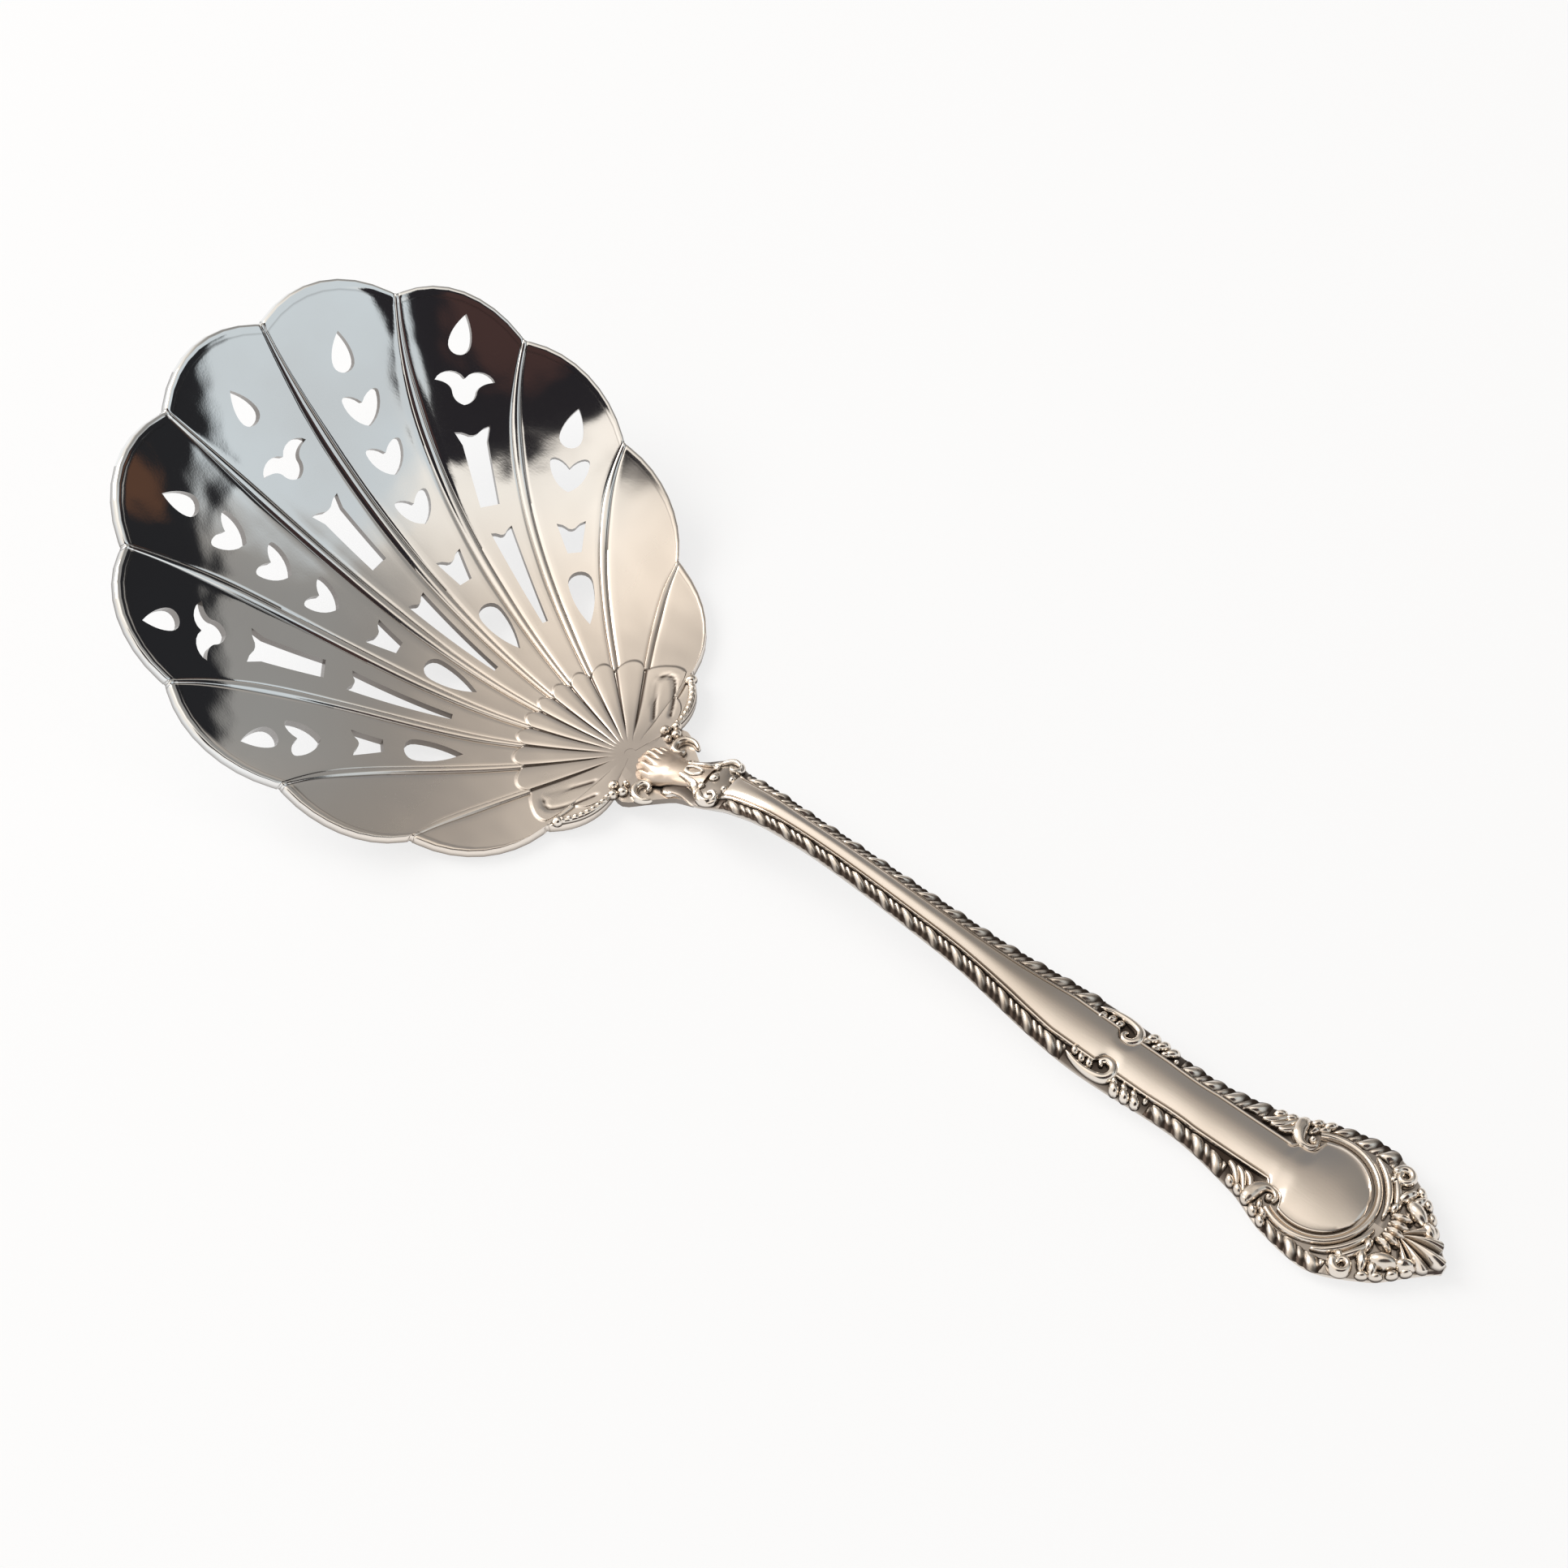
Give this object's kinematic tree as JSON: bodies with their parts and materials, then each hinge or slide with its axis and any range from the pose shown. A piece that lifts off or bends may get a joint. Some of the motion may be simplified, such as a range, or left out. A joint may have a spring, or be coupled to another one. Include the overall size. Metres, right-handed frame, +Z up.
{
  "type": "tomato server",
  "caption": "Pierced silver tomato server: a fluted, scalloped shell bowl on an arched handle with gadroon borders, scroll mounts, a plain panel and a shell finial.",
  "frame": {"origin": "on the table, under the middle of the overall length and width", "axes": "+X along the length from the bowl to the handle's tip, +Z up from the table, the object is mirrored across the XZ plane"},
  "size_m": [0.1978, 0.0784, 0.0343],
  "materials": {
    "bowl_silver": "polished",
    "stem_silver": "satin",
    "mount_silver": "satin"
  },
  "bodies": {
    "root": {"bowl": "bowl_silver", "handle": "stem_silver", "heel_drop": "bowl_silver", "neck_tongue": "stem_silver", "neck_collar": "mount_silver", "neck_scroll_right": "mount_silver", "neck_scroll_left": "mount_silver", "stem_gadroon_right": "mount_silver", "stem_gadroon_left": "mount_silver", "waist_scroll_right": "mount_silver", "waist_scroll_left": "mount_silver", "upper_gadroon_right": "mount_silver", "upper_gadroon_left": "mount_silver", "shoulder_leaf_right": "mount_silver", "shoulder_leaf_left": "mount_silver", "panel_thread": "mount_silver", "end_gadroon_right": "mount_silver", "end_gadroon_left": "mount_silver", "end_scroll_right": "mount_silver", "end_scroll_left": "mount_silver", "shell_finial": "mount_silver"}
  },
  "joints": []
}
